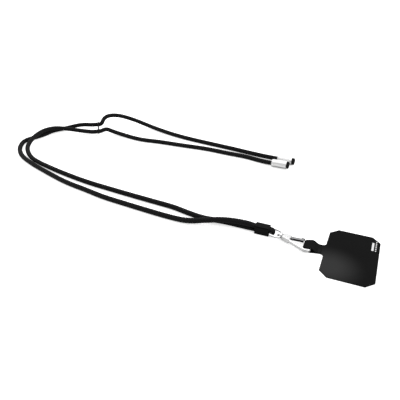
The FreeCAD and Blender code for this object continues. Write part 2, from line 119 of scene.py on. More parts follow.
WEB_T = 0.55
WEB_SLACK = 0.12                # between the hook's bar and the webbing
HOOK_BAR_R = 1.45
TAB_NECK_HALF = 6.0
# Edges of the tab in plan: distance from the hook's bar towards the card, near edge, far edge.
TAB_TOP_EDGES = ((-5.8, -8.2, 2.3), (-3.0, -7.9, 3.4), (0.0, -7.2, 4.6), (4.0, -6.4, 5.6), (7.4, -6.0, 6.0))
TAB_UNDER_EDGES = ((-5.8, -6.2, 2.0), (-3.0, -6.9, 3.0), (0.0, -7.4, 4.3), (4.0, -6.5, 5.4), (7.4, -5.9, 5.9))
TAB_COLUMNS = 41
TAB_FOLD_AT = -4.3              # where the slack loop turns over inside the hook
TAB_FOLD_DEPTH = 0.75           # the fold's depth as a share of its height
TAB_TOP_FLAT = -0.6             # the top layer lies flat from the fold to here
TAB_OVER_CARD = 1.2             # the top layer ends this far past the card's joint
TAB_RISE_FROM = 1.0             # and starts to rise this far ahead of it
TAB_ARCH = 0.2                  # extra height over the bar
TAB_UNDER_GAP = 0.04            # between the lower layer and the surface
TAB_CURL = 0.18                 # rise of the top layer's edges
TAB_RIPPLE = 0.1                # waves of the top layer between the bar and the card
RIPPLE_AT = 5.0                 # middle of the rippled stretch, from the hook's bar
RIPPLE_HALF = 4.0

CARD_FILLET = 2.5
CARD_CHAMFER = 6.5
CARD_EDGE_R = 0.16
CARD_LIFT = 0.22                # the woven face stands on the backing film
CARD_STUB = 3.2                 # length of tab cut from the same sheet
CARD_STEP = 0.5
CARD_JOG = (0.001, 0.06)        # rows this far before and after the line where the card widens
CARD_COLUMNS = 65
FILM_T = 0.2
FILM_INSET = 0.35
FILM_COLUMNS = 33

# Marks: distance in from the card's far edge, place along it, width and length.
MARK_BLOCK = (5.4, 18.7, 1.7, 11.2)
MARK_DASH = (3.0, 13.6, 0.9, 1.5)
MARK_DASHES = 6
MARK_DASH_STEP = 2.5
MARK_HEIGHT = 0.03
MARK_ROOT = 0.02
MARK_BEVEL = 0.06

FLOOR_DROP = 0.02
FLOOR_SIZE = 6000.0
FLOOR_GLOW = 0.65               # for the camera alone, so that the floor comes out white
SKY_LOW, SKY_HIGH = 0.6, 0.95   # brightness of reflections at the horizon and overhead
SKY_TOP = 0.7                   # height at which the sky is at its brightest
FRONT_DARK = 0.2                # share of it left straight in front, where the room is dark
FRONT_FROM, FRONT_TO = -0.95, -0.35  # the dark part fades between these Y headings
LIGHT_AIM = (-150.0, 70.0, 0.0)
# Softboxes: place, diameter and power in watts.
SOFTBOXES = {"softbox_high": ((-350, 350, 1100), 1100, 5.0), "softbox_side": ((750, -200, 700), 600, 1.5)}
CAMERA_AIM = (-140.1, 32.7, 0.0)
CAMERA_DISTANCE = 419.6
CAMERA_TURN = math.radians(22.9)
CAMERA_DIP = math.radians(31.3)
CAMERA_LENS = 40.5
CAMERA_FILM = 36.0

# ---- helpers -------------------------------------------------------------------------------------------


def in_mm(vector):
    return np.array(vector, float) / MM


def unit(vector):
    vector = np.array(vector, float)
    return vector / np.linalg.norm(vector)


def smooth_step(value):
    value = np.clip(value, 0.0, 1.0)
    return value * value * (3 - 2 * value)


def node_mesh(name):
    """Vertices of a CAD node in millimetres, and its faces."""
    mesh = NODES[name].data
    points = np.zeros(len(mesh.vertices) * 3, np.float32)
    mesh.vertices.foreach_get("co", points)
    return in_mm(points.reshape(-1, 3)), [list(face.vertices) for face in mesh.polygons]


def box(name):
    low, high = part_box(name)
    return in_mm(low), in_mm(high)


def centre(name):
    low, high = box(name)
    return (low + high) / 2


def place_object(name, data):
    made = bpy.data.objects.new(name, data)
    bpy.context.scene.collection.objects.link(made)
    return made


def make_piece(name, points, faces, look, smooth=True):
    """A mesh object from points in millimetres."""
    mesh = bpy.data.meshes.new(name)
    mesh.vertices.add(len(points))
    mesh.vertices.foreach_set("co", (np.asarray(points, float) * MM).astype(np.float32).ravel())
    faces = np.asarray(faces, np.int32)
    mesh.loops.add(faces.size)
    mesh.loops.foreach_set("vertex_index", faces.ravel())
    mesh.polygons.add(len(faces))
    side_count = faces.shape[1]
    mesh.polygons.foreach_set("loop_start", np.arange(len(faces), dtype=np.int32) * side_count)
    mesh.update(calc_edges=True)
    mesh.validate()
    mesh.polygons.foreach_set("use_smooth", [smooth] * len(mesh.polygons))
    mesh.materials.append(look)
    return place_object(name, mesh)


def settle(piece):
    """Applies the piece's modifiers to its mesh."""
    bpy.context.view_layer.update()
    graph = bpy.context.evaluated_depsgraph_get()
    done = bpy.data.meshes.new_from_object(piece.evaluated_get(graph))
    piece.modifiers.clear()
    piece.data = done
    return piece


def grid_faces(rows, columns, closed=False):
    """Quads of a grid of points stored row by row."""
    across = columns if closed else columns - 1
    row, column = np.meshgrid(np.arange(rows - 1), np.arange(across), indexing="ij")
    following = (column + 1) % columns
    corners = (row * columns + column, row * columns + following,
               (row + 1) * columns + following, (row + 1) * columns + column)
    return np.stack([c.ravel() for c in corners], 1)


def lathe(name, start, along, profile, look):
    """Turns a closed profile of (distance along the axis, radius) points about an axis."""
    along = unit(along)
    side = unit(np.cross(along, [0, 0, 1]))
    up = np.cross(side, along)
    angles = np.arange(LATHE_SIDES) * 2 * math.pi / LATHE_SIDES
    spokes = np.cos(angles)[:, None] * side + np.sin(angles)[:, None] * up
    closed = list(profile) + [profile[0]]
    rings = [start + along * at + spokes * radius for at, radius in closed]
    faces = grid_faces(len(closed), LATHE_SIDES, closed=True)
    piece = make_piece(name, np.concatenate(rings), faces, look)
    merge = piece.modifiers.new("Merge", "WELD")
    merge.merge_threshold = WELD_GAP * MM
    return settle(piece)


def finish_piece(piece, slot, *nodes):
    """Lets a piece stand in for CAD nodes by hiding them; the slot is not used."""
    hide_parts(*nodes)


def give_look(mesh, look):
    mesh.materials.clear()
    mesh.materials.append(look)


def cast(name, node, look, voxel, rounds, body, slot):
    """A copy of a CAD node with its edges and corners softened, as on a casting."""
    mesh = NODES[node].data.copy()
    give_look(mesh, look)
    piece = place_object(name, mesh)
    mesh.transform(Matrix.Scale(1 / MM, 4))
    remesh = piece.modifiers.new("Remesh", "REMESH")
    remesh.mode = "VOXEL"
    remesh.voxel_size = voxel
    remesh.use_smooth_shade = True
    soften = piece.modifiers.new("Soften", "SMOOTH")
    soften.factor = 0.5
    soften.iterations = rounds
    settle(piece)
    piece.data.transform(Matrix.Scale(MM, 4))
    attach(piece, body)
    finish_piece(piece, slot, node)


# ---- materials -----------------------------------------------------------------------------------------


class Look:
    """A material under construction: short calls that add and join shader nodes."""

    def __init__(self, name, roughness, metallic=0.0):
        self.material = bpy.data.materials.new(name)
        self.material.use_nodes = True
        self.tree = self.material.node_tree
        self.shader = self.tree.nodes["Principled BSDF"]
        self.shader.inputs["Roughness"].default_value = roughness
        self.shader.inputs["Metallic"].default_value = metallic

    def add(self, kind, **settings):
        node = self.tree.nodes.new(kind)
        for key, value in settings.items():
            setattr(node, key, value)
        return node

    def join(self, source, target):
        self.tree.links.new(source, target)

    def where(self):
        return self.add("ShaderNodeTexCoord").outputs["Object"]

    def noise(self, scale, detail, place=None):
        """Grey noise with this many cells per metre."""
        node = self.add("ShaderNodeTexNoise")
        node.inputs["Scale"].default_value = scale
        node.inputs["Detail"].default_value = detail
        self.join(place or self.where(), node.inputs["Vector"])
        return node.outputs["Fac"]

    def stretched(self, factor):
        """Object coordinates squeezed along X, so that noise on them runs in streaks."""
        node = self.add("ShaderNodeMapping")
        node.inputs["Scale"].default_value = (factor, 1.0, 1.0)
        self.join(self.where(), node.inputs["Vector"])
        return node.outputs["Vector"]

    def maths(self, operation, first, second=None, third=None):
        node = self.add("ShaderNodeMath", operation=operation)
        for slot_at, value in enumerate((first, second, third)):
            if value is None:
                continue
            if isinstance(value, (int, float)):
                node.inputs[slot_at].default_value = value
            else:
                self.join(value, node.inputs[slot_at])
        return node.outputs[0]

    def spread(self, value, low, high):
        """Maps 0..1 to low..high."""
        node = self.add("ShaderNodeMapRange")
        self.join(value, node.inputs["Value"])
        node.inputs["To Min"].default_value = low
        node.inputs["To Max"].default_value = high
        return node.outputs["Result"]

    def window(self, value, low, high):
        """0 below low, 1 above high, smooth between."""
        node = self.add("ShaderNodeMapRange", interpolation_type="SMOOTHSTEP")
        self.join(value, node.inputs["Value"])
        node.inputs["From Min"].default_value = low
        node.inputs["From Max"].default_value = high
        return node.outputs["Result"]

    def mix(self, factor, first, second):
        node = self.add("ShaderNodeMix", data_type="RGBA")
        if isinstance(factor, (int, float)):
            node.inputs["Factor"].default_value = factor
        else:
            self.join(factor, node.inputs["Factor"])
        for slot_name, colour in (("A", first), ("B", second)):
            target = next(i for i in node.inputs if i.name == slot_name and i.type == "RGBA")
            if isinstance(colour, tuple):
                target.default_value = (*colour, 1)
            else:
                self.join(colour, target)
        return next(o for o in node.outputs if o.type == "RGBA")

    def colour(self, value):
        self.join(value, self.shader.inputs["Base Color"])

    def roughness(self, value):
        self.join(value, self.shader.inputs["Roughness"])

    def bump(self, height, depth, strength):
        """Relief this many millimetres deep."""
        node = self.add("ShaderNodeBump")
        node.inputs["Distance"].default_value = depth * MM
        node.inputs["Strength"].default_value = strength
        self.join(height, node.inputs["Height"])
        self.join(node.outputs["Normal"], self.shader.inputs["Normal"])

    def shine(self, level):
        """Strength of the surface's mirror reflection; 0.5 is plain plastic."""
        self.shader.inputs["Specular IOR Level"].default_value = level

    def sheen(self, weight, roughness, tint):
        self.shader.inputs["Sheen Weight"].default_value = weight
        self.shader.inputs["Sheen Roughness"].default_value = roughness
        self.shader.inputs["Sheen Tint"].default_value = (*tint, 1)


def cord_look():
    """Black polyester braid: each yarn is a bundle of filaments along its own lay."""
    look = Look("cord_braid", 0.55)
    yarns = look.add("ShaderNodeUVMap", uv_map="braid")
    split = look.add("ShaderNodeSeparateXYZ")
    look.join(yarns.outputs["UV"], split.inputs["Vector"])
    relief = look.add("ShaderNodeAttribute", attribute_name="relief").outputs["Fac"]
    lay = look.add("ShaderNodeAttribute", attribute_name="lay").outputs["Fac"]
    across = look.maths("ADD", look.maths("MULTIPLY", split.outputs["X"], lay),
                        look.maths("MULTIPLY", split.outputs["Y"], look.maths("SUBTRACT", 1.0, lay)))
    filaments = look.maths("SINE", look.maths("MULTIPLY", across, 2 * math.pi * FILAMENTS))
    filaments = look.maths("MULTIPLY_ADD", filaments, 0.5, 0.5)
    fuzz = look.noise(2600, 4)
    tone_shift = look.noise(60, 2)
    # Painted shade: the valleys between the yarns are coloured darker than the crowns.
    base = look.mix(relief, (0.001, 0.001, 0.0011), (0.008, 0.008, 0.0085))
    base = look.mix(look.maths("MULTIPLY", filaments, 0.3), base, (0.014, 0.014, 0.0148))
    base = look.mix(look.spread(tone_shift, 0.0, 0.35), base, (0.004, 0.004, 0.0043))
    look.colour(base)
    look.roughness(look.spread(fuzz, 0.42, 0.72))
    look.bump(look.maths("ADD", filaments, look.maths("MULTIPLY", fuzz, 0.7)), 0.035, 0.8)
    look.sheen(0.02, 0.45, (0.7, 0.7, 0.73))
    look.shine(0.09)
    return look.material


def painted_look(name, tone, rough, edge):
    """Gloss black coating with fine orange peel and handling marks; its edges carry a painted highlight,
    coloured a little lighter.
    """
    look = Look(name, rough)
    peel = look.noise(900, 2)
    marks = look.noise(160, 5, look.stretched(0.25))
    geometry = look.add("ShaderNodeNewGeometry")
    # Painted highlight: where the surface is sharply convex, the colour is pulled towards edge, lighter than
    # the coat.
    tone_shift = look.window(geometry.outputs["Pointiness"], 0.53, 0.6)
    base = look.mix(look.spread(marks, 0.0, 0.5), (tone, tone, tone * 1.05), (tone * 1.8,) * 3)
    look.colour(look.mix(look.maths("MULTIPLY", tone_shift, 0.6), base, (edge, edge, edge)))
    look.roughness(look.spread(marks, rough * 0.7, rough * 1.8))
    look.bump(peel, 0.01, 0.5)
    look.shine(0.04)
    look.shader.inputs["Coat Weight"].default_value = 0.06
    look.shader.inputs["Coat Roughness"].default_value = 0.12
    return look.material


def metal_look(name, tint, low, high, streaks, under, turn):
    """Bright metal with fine lines along X, dulled patches, and painted shade on its underside.

    The painted shade is full where the surface's upward lean is below turn[0] and gone above turn[1]; there
    the tint is scaled by under.
    """
    look = Look(name, low, 1.0)
    lines = look.noise(5200, 2, look.stretched(streaks))
    patches = look.noise(240, 3)
    dull = tuple(c * 0.9 for c in tint)
    clean = look.mix(look.spread(patches, 0.0, 0.7), tint, dull)
    # Painted shade: surfaces facing down are coloured darker, as if in the shade beneath the part.
    facing = look.add("ShaderNodeSeparateXYZ")
    look.join(look.add("ShaderNodeNewGeometry").outputs["Normal"], facing.inputs["Vector"])
    upward = look.window(facing.outputs["Z"], *turn)
    look.colour(look.mix(upward, tuple(c * under for c in tint), clean))
    look.roughness(look.maths("ADD", look.spread(patches, low, high), look.maths("MULTIPLY", lines, 0.05)))
    look.bump(lines, 0.004, 0.2)
    return look.material


def weave_look(name, pitch, low, high, highlight_centre=None):
    """A plain weave of dark yarns this far apart, with fibre grain and, round an optional centre, a painted
    highlight: a paler stretch.
    """
    look = Look(name, 0.7)
    split = look.add("ShaderNodeSeparateXYZ")
    look.join(look.where(), split.inputs["Vector"])
    turn = math.pi / (pitch * MM)
    warp = look.maths("SINE", look.maths("MULTIPLY", split.outputs["X"], turn))
    weft = look.maths("SINE", look.maths("MULTIPLY", split.outputs["Y"], turn))
    cross = look.maths("MULTIPLY_ADD", look.maths("MULTIPLY", warp, weft), 0.5, 0.5)
    grain = look.noise(2200, 4)
    patches = look.noise(45, 3)
    base = look.mix(look.maths("MULTIPLY", look.maths("ADD", cross, grain), 0.5), (low,) * 3, (high,) * 3)
    base = look.mix(look.spread(patches, 0.0, 0.4), base, (high * 1.15,) * 3)
    # Painted highlight: paler colour, full within 4 mm of the centre and fading out by 28 mm.
    if highlight_centre:
        away = look.add("ShaderNodeVectorMath", operation="DISTANCE")
        look.join(look.where(), away.inputs[0])
        away.inputs[1].default_value = [c * MM for c in highlight_centre]
        near = look.window(away.outputs["Value"], 0.028, 0.004)
        base = look.mix(look.maths("MULTIPLY", near, 0.8), base, (high * 4.6,) * 3)
    look.colour(base)
    look.roughness(look.spread(grain, 0.6, 0.85))
    look.bump(look.maths("ADD", cross, look.maths("MULTIPLY", grain, 0.8)), 0.05, 0.6)
    look.sheen(0.006, 0.5, (0.8, 0.8, 0.83))
    look.shine(0.03)
    return look.material


def plain_look(name, low, high, rough, scale, shine=0.5):
    """Moulded plastic, ink or film: fine mottling of tone and gloss."""
    look = Look(name, rough)
    look.shine(shine)
    grain = look.noise(scale, 3)
    look.colour(look.mix(grain, low, high))
    look.roughness(look.spread(grain, rough * 0.8, min(1.0, rough * 1.25)))
    look.bump(grain, 0.012, 0.6)
    return look.material


CORD = cord_look()
# The last figure is the colour of the painted highlight along the edges.
CRIMP = painted_look("crimp_black", 0.002, 0.22, 0.08)
SLIDER = painted_look("slider_black", 0.01, 0.25, 0.08)
# under and turn set how dark the painted shade on each metal's underside is and how far round it reaches.
SILVER = metal_look("cap_silver", (0.94, 0.94, 0.94), 0.5, 0.6, 0.05, under=0.3, turn=(-0.85, 0.1))
NICKEL = metal_look("hook_nickel", (0.9, 0.9, 0.9), 0.22, 0.34, 0.2, under=0.15, turn=(-0.7, 0.5))
GATE = metal_look("gate_steel", (0.3, 0.3, 0.305), 0.24, 0.4, 0.15, under=0.3, turn=(-0.75, 0.4))
PLUG = plain_look("plug_black", (0.004, 0.004, 0.004), (0.014, 0.014, 0.0145), 0.7, 1400, shine=0.02)
WEB = weave_look("tab_weave", 0.45, 0.002, 0.012)
# A painted highlight brightens the card round this centre, near one corner.
CARD = weave_look("card_weave", 0.3, 0.002, 0.009, highlight_centre=(-13.5, -19.0, 0.9))
FILM = plain_look("card_film", (0.01, 0.01, 0.011), (0.022, 0.022, 0.023), 0.6, 700)
INK = plain_look("pale_ink", (0.62, 0.62, 0.62), (0.85, 0.85, 0.85), 0.7, 1800)

# ---- cord ----------------------------------------------------------------------------------------------


def rod_middle(tree, point, heading):
    """The middle of a round rod's cross-section, from any point inside it."""
    side = heading.orthogonal().normalized()
    for direction in (side, heading.cross(side)):
        there = tree.ray_cast(point, direction)[3]
        back = tree.ray_cast(point, -direction)[3]
        point = point + direction * ((there - back) / 2)
    return point


def trace(node, start, heading):
    """The centreline of a bent rod, walked inside its surface from one end to the other."""
    points, faces = node_mesh(node)
    tree = BVHTree.FromPolygons([Vector(p) for p in points], faces)
    heading = Vector(heading).normalized()
    point = rod_middle(tree, Vector(start), heading)
    line = [point]
    room = tree.ray_cast(point, heading)[3]
    while room > 1.5 * WALK_STEP:
        ahead = rod_middle(tree, point + heading * WALK_STEP, heading)
        heading = (ahead - point).normalized()
        point = ahead
        line.append(point)
        room = tree.ray_cast(point, heading)[3]
    line.append(point + heading * room)
    return [np.array(p) for p in line]


def strand_starts():
    """Where the two cores leave the crimp: the middles of their end faces, upper one first."""
    points = node_mesh("neck_cord_core")[0]
    ends = points[points[:, 0] > points[:, 0].max() - STRAND_END_DEPTH]
    level = (ends[:, 2].min() + ends[:, 2].max()) / 2
    halves = (ends[ends[:, 2] > level], ends[ends[:, 2] < level])
    return [(half.min(0) + half.max(0)) / 2 for half in halves]


def fold_line():
    """From the crimp's mouth over the eye's bar and back, and the way through the crimp on each side."""
    bar = in_mm(JOINTS["eye_swing"]["pos_m"])
    low, high = box("cord_crimp")
    sides = np.linspace(low[0] + FOLD_FROM, high[0] - FOLD_TO, 9)
    upper = [np.array([x, bar[1], bar[2] + CRIMPED_HALF_THICK]) for x in sides]
    turn = [bar + FOLD_R * np.array([math.cos(a), 0, math.sin(a)])
            for a in np.linspace(FOLD_SPREAD, -FOLD_SPREAD, 15)]
    lower = [np.array([p[0], p[1], 2 * bar[2] - p[2]]) for p in reversed(upper)]
    return upper + turn + lower


def tail_line(node, sleeve, plug):
    """A tail's centreline, from the slider to the inside of its end cap."""
    into = unit(centre(plug) - centre(sleeve))
    return trace(node, centre(sleeve), -into)[::-1]


def eased(points, rounds):
    """The line smoothed, with its ends kept."""
    points = np.array(points)
    for _ in range(rounds):
        points[1:-1] = (points[:-2] + 2 * points[1:-1] + points[2:]) / 4
    return points


def even_line(points, step):
    """The line cut into equal steps."""
    reach = np.concatenate([[0], np.cumsum(np.linalg.norm(np.diff(points, axis=0), axis=1))])
    stations = np.linspace(0, reach[-1], int(reach[-1] / step) + 1)
    return np.stack([np.interp(stations, reach, points[:, i]) for i in range(3)], 1)


def cord_line():
    """The whole cord: one end cap, slider, crimp, back through the slider, other end cap."""
    upper, lower = strand_starts()
    inset = np.array([STRAND_END_INSET, 0, 0])
    outer = trace("neck_cord_core", upper - inset, (-1, 0, 0))
    inner = trace("neck_cord_core", lower - inset, (-1, 0, 0))
    outer_tail = tail_line("outer_tail_core", "outer_end_sleeve", "outer_end_plug")
    inner_tail = tail_line("inner_tail_core", "inner_end_sleeve", "inner_end_plug")
    whole = outer_tail[::-1] + outer[::-1] + fold_line() + inner + inner_tail
    coarse = even_line(eased(whole, COARSE_EASING), COARSE_STEP)
    return eased(even_line(eased(coarse, RING_EASING), RING_STEP), LAST_EASING)


def untwisted_sides(line):
    """Headings along the line, and a side direction carried along it without twisting."""
    headings = np.gradient(line, axis=0)
    headings /= np.linalg.norm(headings, axis=1)[:, None]
    sides = np.zeros_like(line)
    side = np.cross(headings[0], [0, 0, 1])
    for i, heading in enumerate(headings):
        side = side - heading * (side @ heading)
        side = side / np.linalg.norm(side)
        sides[i] = side
    return headings, sides


def braid(turn, reach):
    """Relief of a two-over-two braid at an angle round the cord and a distance along it.

    Gives the height from 0 to 1, 1 where the yarn on top runs one way and 0 where it runs the other,
    and both yarn counts.
    """
    one = CARRIERS * turn / (2 * math.pi) + reach / CARRIER_STEP
    other = CARRIERS * turn / (2 * math.pi) - reach / CARRIER_STEP
    phase = np.floor(one) + np.floor(other)
    first_on_top = (phase % 4) < 2
    across = np.where(first_on_top, one, other) % 1.0
    float_at = np.where(first_on_top, (other + np.floor(one)) % 4, (one + np.floor(other) - 2) % 4) / 2
    crown = 1 - np.abs(2 * across - 1) ** YARN_CROWN
    rise = np.sqrt(np.sin(np.clip(float_at, 0, 1) * math.pi))
    return crown * (1 - YARN_DIP + YARN_DIP * rise), first_on_top.astype(float), one, other


def cord_rings(line):
    """Ring points of the braided cord along its line, flattened where the crimp grips it."""
    headings, sides = untwisted_sides(line)
    ups = np.cross(headings, sides)
    reach = np.arange(len(line)) * RING_STEP
    turn = np.arange(RING_SIDES + 1) * 2 * math.pi / RING_SIDES
    height, lay, one, other = braid(turn[None, :], reach[:, None])
    radius = CORD_R - BRAID_RELIEF * (1 - height)
    spokes = np.cos(turn)[None, :, None] * sides[:, None] + np.sin(turn)[None, :, None] * ups[:, None]
    spokes = spokes * radius[:, :, None]
    low, high = box("cord_crimp")
    near = np.abs(line[:, 1] - (low[1] + high[1]) / 2) < CRIMP_SIDE_REACH
    grip = np.where(near, smooth_step((line[:, 0] - low[0] + CRIMP_APPROACH) / CRIMP_APPROACH), 0.0)
    across = np.array([0.0, 1.0, 0.0])
    flat = np.cross(headings, across)
    flat /= np.linalg.norm(flat, axis=1)[:, None]
    wide = np.einsum("ijk,k->ij", spokes, across)
    thick = np.einsum("ijk,ik->ij", spokes, flat)
    more_wide = grip[:, None] * (CRIMPED_HALF_WIDTH / CORD_R - 1)
    less_thick = grip[:, None] * (CRIMPED_HALF_THICK / CORD_R - 1)
    spokes = spokes + (wide * more_wide)[:, :, None] * across
    spokes = spokes + (thick * less_thick)[:, :, None] * flat[:, None]
    return line[:, None] + spokes, height, lay, one, other


def cord_piece(name, rings, first, last):
    """One length of the cord, from one ring to another."""
    points, height, lay, one, other = [part[first:last + 1] for part in rings]
    rows = len(points)
    piece = make_piece(name, points[:, :-1].reshape(-1, 3), grid_faces(rows, RING_SIDES, closed=True), CORD)
    mesh = piece.data
    for label, values in (("relief", height), ("lay", lay)):
        attribute = mesh.attributes.new(label, "FLOAT", "POINT")
        attribute.data.foreach_set("value", values[:, :-1].astype(np.float32).ravel())
    unrolled = grid_faces(rows, RING_SIDES + 1)
    counts = np.stack([one.ravel()[unrolled.ravel()], other.ravel()[unrolled.ravel()]], 1)
    layer = mesh.uv_layers.new(name="braid")
    layer.data.foreach_set("uv", counts.astype(np.float32).ravel())
    return piece


def nearest_ring(line, point):
    return int(np.linalg.norm(line - point, axis=1).argmin())


def build_cord():
    line = cord_line()
    rings = cord_rings(line)
    hole_axis = unit(JOINTS["slider_slide"]["axis"])
    outer_pivot = in_mm(JOINTS["outer_tail_swing"]["pos_m"])
    inner_pivot = in_mm(JOINTS["inner_tail_swing"]["pos_m"])
    bar = in_mm(JOINTS["eye_swing"]["pos_m"])
    rise = np.array([0, 0, CRIMPED_HALF_THICK])
    in_crimp = np.array([centre("cord_crimp")[0], bar[1], bar[2]])
    cuts = [
        0,
        nearest_ring(line, outer_pivot - hole_axis * PIVOT_TO_HOLE),
        nearest_ring(line, in_crimp + rise),
        nearest_ring(line, in_crimp - rise),
        nearest_ring(line, inner_pivot - hole_axis * PIVOT_TO_HOLE),
        len(line) - 1,
    ]
    names = ["cord_outer_tail", "cord_outer_strand", "cord_fold", "cord_inner_strand", "cord_inner_tail"]
    pieces = {name: cord_piece(name, rings, cuts[i], cuts[i + 1]) for i, name in enumerate(names)}
    for name in ("cord_outer_strand", "cord_fold", "cord_inner_strand"):
        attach(pieces[name], "neck_cord")
        finish_piece(pieces[name], "cord", "neck_cord_sheath", "neck_cord_core")
    bend_tail(pieces["cord_outer_tail"], "outer_tail")
    bend_tail(pieces["cord_inner_tail"], "inner_tail")


def bend_tail(piece, body):
    """Hides the tail's CAD nodes and bakes the piece's placement into its mesh."""
    finish_piece(piece, "cord", body + "_sheath", body + "_core")
    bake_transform(piece)


# ---- fittings on the cord ------------------------------------------------------------------------------


def build_crimp():
    cast("crimp", "cord_crimp", CRIMP, THIN_VOXEL, 3, "neck_cord", "crimp")


def build_slider():
    cast("slider", "cord_slider", SLIDER, THIN_VOXEL, 4, "slider", "slider")


def along_extent(node, start, along):
    """How far a node reaches each way along an axis, and its largest radius at each end."""
    points = node_mesh(node)[0] - start
    at = points @ along
    radius = np.linalg.norm(points - at[:, None] * along, axis=1)
    third = (at.max() - at.min()) / 3
    return at.min(), at.max(), radius[at < at.min() + third].max(), radius[at > at.max() - third].max()


def cap_profile(near, far, mouth_r, end_r, plug_r):
    """Section of an end cap: bore, rolled lip, groove, slightly swollen body, rim, seat and solid end."""
    bore = CORD_R + CAP_FIT
    profile = [
        (near + 0.5, bore - 0.1), (near + 0.12, bore), (near, bore + 0.16), (near, mouth_r - 0.18),
        (near + 0.08, mouth_r - 0.05), (near + 0.3, mouth_r), (near + 0.75, mouth_r + 0.01),
        (near + 0.95, mouth_r - 0.09), (near + 1.15, mouth_r - 0.09), (near + CAP_LIP, mouth_r + 0.04),
    ]
    body_start, body_end = near + CAP_LIP, far - CAP_RIM
    for share in np.linspace(0.1, 1.0, 10):
        swell = CAP_SWELL * math.sin(math.pi * share)
        radius = mouth_r + (end_r - mouth_r) * share + swell
        profile.append((body_start + (body_end - body_start) * share, radius))
    seat_r = plug_r + CAP_FIT
    return profile + [
        (far - 0.15, end_r - 0.02), (far - 0.03, end_r - 0.12), (far, end_r - 0.24),
        (far - 0.02, plug_r + 0.08), (far - 0.16, seat_r), (far - CAP_SEAT, seat_r),
        (far - CAP_SEAT, 0.02), (far - CAP_END, 0.02), (far - CAP_END, bore - 0.1),
    ]


def disc_profile(root, face, plug_r):
    """Section of a disc with a rounded edge and a shallow dish."""
    side_r = plug_r - CAP_FIT
    return [
        (root, 0.02), (root, side_r), (face - 0.4, side_r),
        (face - 0.2, plug_r - 0.07), (face - 0.06, plug_r - 0.22), (face, plug_r - 0.5),
        (face - 0.02, plug_r - 0.9), (face - 0.12, plug_r - 1.2),
        (face - DISC_DISH, 1.0), (face - 0.14, 0.02),
    ]


def build_end_cap(body, sleeve, plug):
    """A turned metal cap, closed by a black disc."""
    start = centre(sleeve)
    along = unit(centre(plug) - start)
    near, far, mouth_r, end_r = along_extent(sleeve, start, along)
    _, face, _, plug_r = along_extent(plug, start, along)
    profile = cap_profile(near, far, mouth_r - CAP_MOUTH_EASE, end_r, plug_r)
    cap = lathe(body + "_cap", start, along, profile, SILVER)
    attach(cap, body)
    finish_piece(cap, "end_sleeve", sleeve)
    root = far - CAP_SEAT + CAP_FIT
    disc = lathe(body + "_plug", start, along, disc_profile(root, face, plug_r), PLUG)
    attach(disc, body)
    finish_piece(disc, "end_plug", plug)


# ---- hook ----------------------------------------------------------------------------------------------


def build_hook():
    cast("swivel_ring", "swivel_eye", NICKEL, THIN_VOXEL, 3, "eye", "hook_metal")
    cast("hook_bow", "hook_frame", NICKEL, CAST_VOXEL, 4, "hook", "hook_metal")
    cast("gate_channel", "hook_gate", GATE, THIN_VOXEL, 2, "gate", "gate_metal")
    cast("gate_rivet", "gate_pin", NICKEL, THIN_VOXEL, 2, "hook", "hook_metal")
    give_look(NODES["swivel_post"].data, NICKEL)
    give_look(NODES["gate_spring"].data, GATE)


# ---- tether card ---------------------------------------------------------------------------------------


def sheet_solid(name, middle, thickness, look):
    """A cloth of even thickness from a grid of middle points, with its edge rounded over."""
    rows, columns = middle.shape[:2]
    piece = make_piece(name, middle.reshape(-1, 3), grid_faces(rows, columns), look)
    thicken = piece.modifiers.new("Thicken", "SOLIDIFY")
    thicken.thickness = thickness * MM
    thicken.offset = 0.0
    ease = piece.modifiers.new("Ease", "BEVEL")
    ease.width = CARD_EDGE_R * MM
    ease.segments = 2
    ease.limit_method = "ANGLE"
    ease.angle_limit = math.radians(50)
    return settle(piece)


def tab_path():
    """Side view of the tab from the hook's bar: x towards the card, and z above the surface.

    It comes from the card, rises over the bar, turns over inside the hook and returns under the bar.
    Beside each point goes a mark: 0 on the top layer, 1 at the front of the fold, 2 underneath.
    """
    bar = in_mm(JOINTS["tab_swing"]["pos_m"])
    card_at = in_mm(JOINTS["card_flex"]["pos_m"])[0] - bar[0]
    on_card = box("card_face")[1][2] - WEB_T / 2
    gap = HOOK_BAR_R + WEB_SLACK + WEB_T / 2
    over = bar[2] + gap + TAB_ARCH
    under = WEB_T / 2 + TAB_UNDER_GAP
    rise_from = card_at - TAB_RISE_FROM
    run = []
    for x in np.linspace(card_at + TAB_OVER_CARD, TAB_FOLD_AT, 34):
        rise = smooth_step((rise_from - x) / (rise_from - TAB_TOP_FLAT))
        run.append((x, on_card + (over - on_card) * rise, 0.0))
    fold_r = (over - under) / 2
    for angle in np.linspace(100, 260, 17):
        x = TAB_FOLD_AT + fold_r * TAB_FOLD_DEPTH * math.cos(math.radians(angle))
        run.append((x, under + fold_r + fold_r * math.sin(math.radians(angle)), (angle - 90) / 90))
    for x in np.linspace(TAB_FOLD_AT + 0.3, card_at - 0.4, 24):
        run.append((x, under, 2.0))
    return np.array(run), bar


def tab_edges(x, mark):
    """Near and far edge of the tab, in plan, at a distance from the hook's bar."""
    layers = []
    for edges in (TAB_TOP_EDGES, TAB_UNDER_EDGES):
        at, near, far = np.array(edges).T
        layers.append(np.array([np.interp(x, at, near), np.interp(x, at, far)]))
    share = smooth_step(mark)
    return layers[0] * (1 - share) + layers[1] * share


